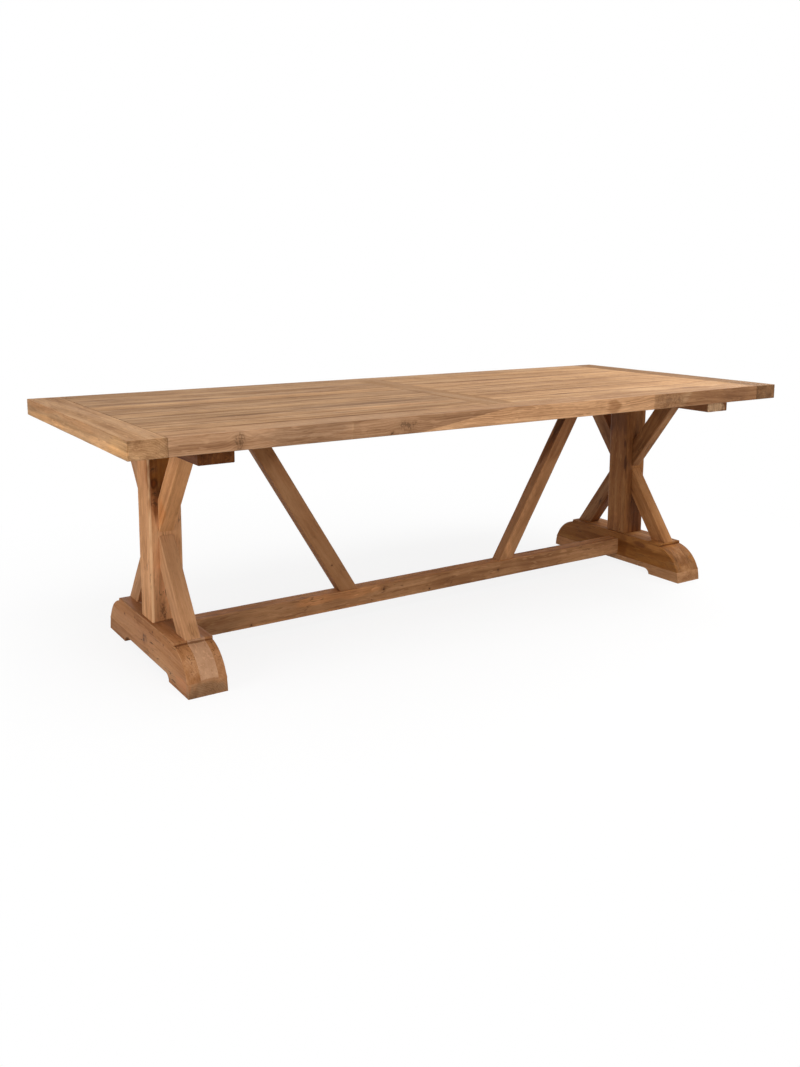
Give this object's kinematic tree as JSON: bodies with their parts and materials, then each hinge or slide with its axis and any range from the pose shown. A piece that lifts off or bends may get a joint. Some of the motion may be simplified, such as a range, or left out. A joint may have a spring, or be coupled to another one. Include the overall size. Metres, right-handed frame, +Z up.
{
  "type": "dining table",
  "caption": "Rectangular plank-top dining table on X-braced trestles with round-nosed feet, tied by a low stretcher with raking struts up to the top.",
  "frame": {"origin": "on the floor, under the middle of the top", "axes": "+X along the table's length, +Y from front to back across its width, +Z up"},
  "size_m": [2.5, 1, 0.77],
  "materials": {
    "top_teak": "matte, lightly brushed reclaimed teak",
    "trestle_teak": "matte reclaimed teak, darker and redder",
    "dowel_wood": "plain turned dowel",
    "screw_steel": "zinc plated"
  },
  "bodies": {
    "root": {"back_rail": "top_teak", "batten_screws": "screw_steel", "bearer_screws": "screw_steel", "brace_dowels": "dowel_wood", "front_rail": "top_teak", "left_back_lower_brace": "trestle_teak", "left_back_upper_brace": "trestle_teak", "left_batten": "trestle_teak", "left_bearer": "trestle_teak", "left_end_board": "top_teak", "left_foot_core": "trestle_teak", "left_foot_inner_cheek": "trestle_teak", "left_foot_outer_cheek": "trestle_teak", "left_foot_sole": "trestle_teak", "left_front_lower_brace": "trestle_teak", "left_front_upper_brace": "trestle_teak", "left_plank_1": "top_teak", "left_plank_2": "top_teak", "left_plank_3": "top_teak", "left_plank_4": "top_teak", "left_plank_5": "top_teak", "left_plank_6": "top_teak", "left_plank_7": "top_teak", "left_plank_8": "top_teak", "left_post": "trestle_teak", "left_strut": "trestle_teak", "middle_cross_board": "top_teak", "right_back_lower_brace": "trestle_teak", "right_back_upper_brace": "trestle_teak", "right_batten": "trestle_teak", "right_bearer": "trestle_teak", "right_end_board": "top_teak", "right_foot_core": "trestle_teak", "right_foot_inner_cheek": "trestle_teak", "right_foot_outer_cheek": "trestle_teak", "right_foot_sole": "trestle_teak", "right_front_lower_brace": "trestle_teak", "right_front_upper_brace": "trestle_teak", "right_plank_1": "top_teak", "right_plank_2": "top_teak", "right_plank_3": "top_teak", "right_plank_4": "top_teak", "right_plank_5": "top_teak", "right_plank_6": "top_teak", "right_plank_7": "top_teak", "right_plank_8": "top_teak", "right_post": "trestle_teak", "right_strut": "trestle_teak", "stretcher": "trestle_teak", "strut_dowels": "dowel_wood"}
  },
  "joints": []
}
